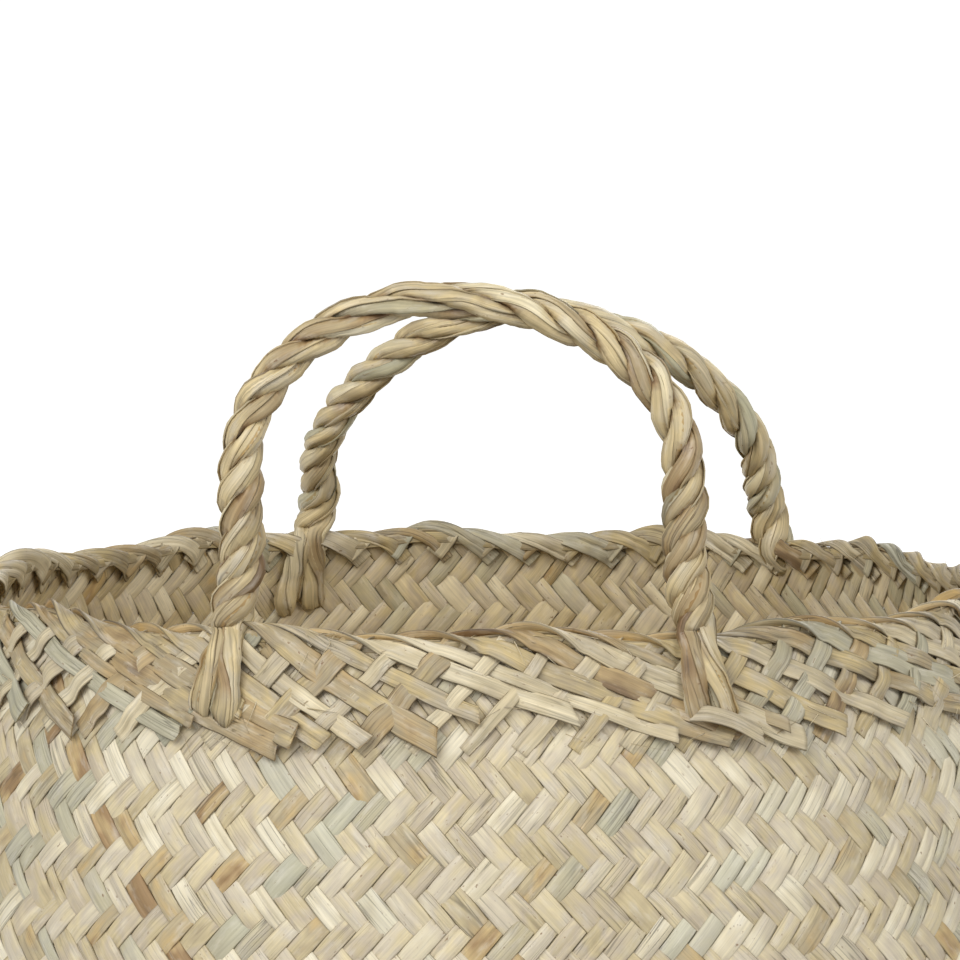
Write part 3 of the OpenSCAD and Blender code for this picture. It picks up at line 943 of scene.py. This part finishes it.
def strand_straws(h, path, core_out, stout, run, parted, name, k):
    """Flat straws wrapped round one strand, each tucked under the next along one edge
    and standing a little proud along the other. They are given painted shade, darker
    and browner where they face the rope's core, as if shadowed by the other strands,
    core_out being the way out from it. stout scales the strand, whose number is k.
    Towards the feet it is flattened into a wide petal against the wall."""
    straws = 4
    tangent, first, second = carried_frame(path)
    number = np.arange(straws, dtype=float)
    x = across(straws)
    slip = -2 * np.pi * run / STRAW_TURN
    half_angle = np.radians(58) * (1 + 0.12 * wander(straws, run, 60, 1))
    theta = 2 * np.pi * number[:, None] / straws + slip[None] + 0.3 * wander(straws, run, 70, 1)
    angle = theta[..., None] + half_angle[..., None] * x
    swell = stout * (1 + 0.04 * wander(straws, run, 19, 1) + 0.1 * wander(1, run, 14, 1))
    ends = smooth(np.minimum(run, run[-1] - run) / 5)
    radius = (STRAND_R * swell * (0.7 + 0.3 * ends[None]))[..., None]
    groove = 0.25 * smooth(0.2 + wander(straws, run, 50, 1.2))[..., None]
    radius = radius - 0.75 * LOW + 0.24 * x - CROWNED * 0.1 * (1 - x * x) - CREASE * groove
    d = (
        np.cos(angle)[..., None] * first[None, :, None] + np.sin(angle)[..., None] * second[None, :, None]
    ) * radius[..., None]
    facing_out = (unit(d) * core_out[None, :, None]).sum(-1)
    # Painted shade: straw faces turned towards the rope's core are made browner, as if in the shadow of the
    # other strands, except where the strands have parted.
    core_shade = smooth(0.35 - 0.95 * facing_out) * (1 - parted[None, :, None])
    out = unit(path * np.array([1.0, 1.0, 0.0]))
    wide = unit(np.cross(tangent, out))
    around = unit(np.cross(tangent, core_out))
    beside = (d * around[None, :, None]).sum(-1, keepdims=True) * around[None, :, None]
    d = d + 0.16 * (1 - parted[None, :, None, None]) * beside
    outward = (d * out[None, :, None]).sum(-1, keepdims=True)
    sideways = (d * wide[None, :, None]).sum(-1, keepdims=True)
    flat = parted[None, :, None, None]
    d = d - 0.5 * flat * outward * out[None, :, None] + 0.3 * flat * sideways * wide[None, :, None]
    points = place_handle(h, path[None, :, None] + d)
    tone, tint = straw_colours(straws, GREEN_ROPE)
    # Painted shade: the legs are made darker and browner than the top, by a higher tone and more wear.
    leg = smooth((h["knee"] + 25 - path[:, 2]) / 60)[None, :, None]
    tone = 0.1 + 0.8 * tone[:, None, None] + 0.16 * wander(straws, run, 40, 1)[..., None]
    tone = tone + 0.1 * leg + 0.55 * core_shade
    wear = np.clip(0.4 + 0.5 * wander(straws, run, 45, 1)[..., None] + 0.3 * leg, 0, 1)
    uv = np.stack(np.broadcast_arrays(
        run[None, :, None] * 1.15, 2.5 * x + 31 * (number[:, None, None] + 7 * k)
    ), -1)
    numbers = straw_numbers(tone, tint[:, None, None], wear)
    return strips(name, points, uv, numbers, rope_straw, None)


# ---------------------------------------------------------------- stage
FLOOR_REACH = 70.0
FLOOR_GLOW = 0.62
ROOM_GLOW = 0.5
# Name, place, width in metres and power in watts of each lamp, and what they aim at.
LAMPS = (
    ("key", (-0.8, -2.6, 2.0), 1.3, 29.0), ("left fill", (-1.9, -1.7, 1.7), 1.2, 29.0),
    ("right fill", (1.9, -1.8, 1.6), 1.2, 27.0), ("back", (0.9, 2.4, 1.9), 1.4, 34.0),
)
LAMP_AIM = (0, 0, 0.25)
# The camera's distance and height in metres, and its angles in degrees.
CAMERA_FAR, CAMERA_HIGH, CAMERA_TURN, CAMERA_DOWN = 2.2, 0.557, 2.0, 5.0


def stage():
    """A wide pale floor that glows enough to look white but throws no light on the
    basket, a soft white surround, and soft lamps from the front, both sides and
    behind."""
    mesh = bpy.data.meshes.new("floor")
    corners = [(-1, -1), (1, -1), (1, 1), (-1, 1)]
    mesh.from_pydata([(x * FLOOR_REACH, y * FLOOR_REACH, 0) for x, y in corners], [], [(0, 1, 2, 3)])
    floor = bpy.data.objects.new("floor", mesh)
    bpy.context.scene.collection.objects.link(floor)
    paint = bpy.data.materials.new("matt white backdrop paint")
    paint.use_nodes = True
    shader = paint.node_tree.nodes["Principled BSDF"]
    shader.inputs["Base Color"].default_value = linear("#F4F4F2")
    shader.inputs["Roughness"].default_value = 0.9
    shader.inputs["Emission Color"].default_value = linear("#FFFFFF")
    shader.inputs["Emission Strength"].default_value = FLOOR_GLOW
    mesh.materials.append(paint)
    floor.visible_diffuse = False
    world = bpy.data.worlds.new("white studio")
    world.use_nodes = True
    surround = world.node_tree.nodes["Background"]
    surround.inputs["Color"].default_value = (1, 1, 1, 1)
    surround.inputs["Strength"].default_value = ROOM_GLOW
    bpy.context.scene.world = world
    for label, place, width, power in LAMPS:
        data = bpy.data.lights.new(label, "AREA")
        data.size = width
        data.energy = power
        lamp = bpy.data.objects.new(label, data)
        bpy.context.scene.collection.objects.link(lamp)
        lamp.location = place
        point_at(lamp, LAMP_AIM)
    bpy.context.scene.view_settings.view_transform = "Standard"


def point_at(thing, target):
    """Turns a lamp so that its -Z axis meets the target."""
    aim = Vector(target) - thing.location
    thing.rotation_euler = aim.to_track_quat("-Z", "Y").to_euler()


def camera():
    """A long lens a little above the rim, looking slightly down."""
    azimuth, pitch = math.radians(CAMERA_TURN), math.radians(CAMERA_DOWN)
    data = bpy.data.cameras.new("camera")
    data.sensor_width = 36
    data.lens = 242
    data.clip_end = 300
    thing = bpy.data.objects.new("camera", data)
    bpy.context.scene.collection.objects.link(thing)
    thing.location = (CAMERA_FAR * math.sin(azimuth), -CAMERA_FAR * math.cos(azimuth), CAMERA_HIGH)
    thing.rotation_euler = (math.pi / 2 - pitch, 0, azimuth)
    bpy.context.scene.camera = thing


camera()
stage()
wall_straws(True)
wall_straws(False)
mat_straws()
border_folds()
border_risers()
border_core()
loose_fibres()
lash()
rope_handle(FRONT, "front", [
    ["front_strand_1", "front_left_foot", "front_right_foot"], ["front_strand_2", "front_left_tail"],
    ["front_strand_3", "front_right_tail"],
])
rope_handle(REAR, "rear", [
    ["rear_strand_1", "rear_left_foot", "rear_right_foot"], ["rear_strand_2", "rear_left_tail"],
    ["rear_strand_3", "rear_right_tail"],
])
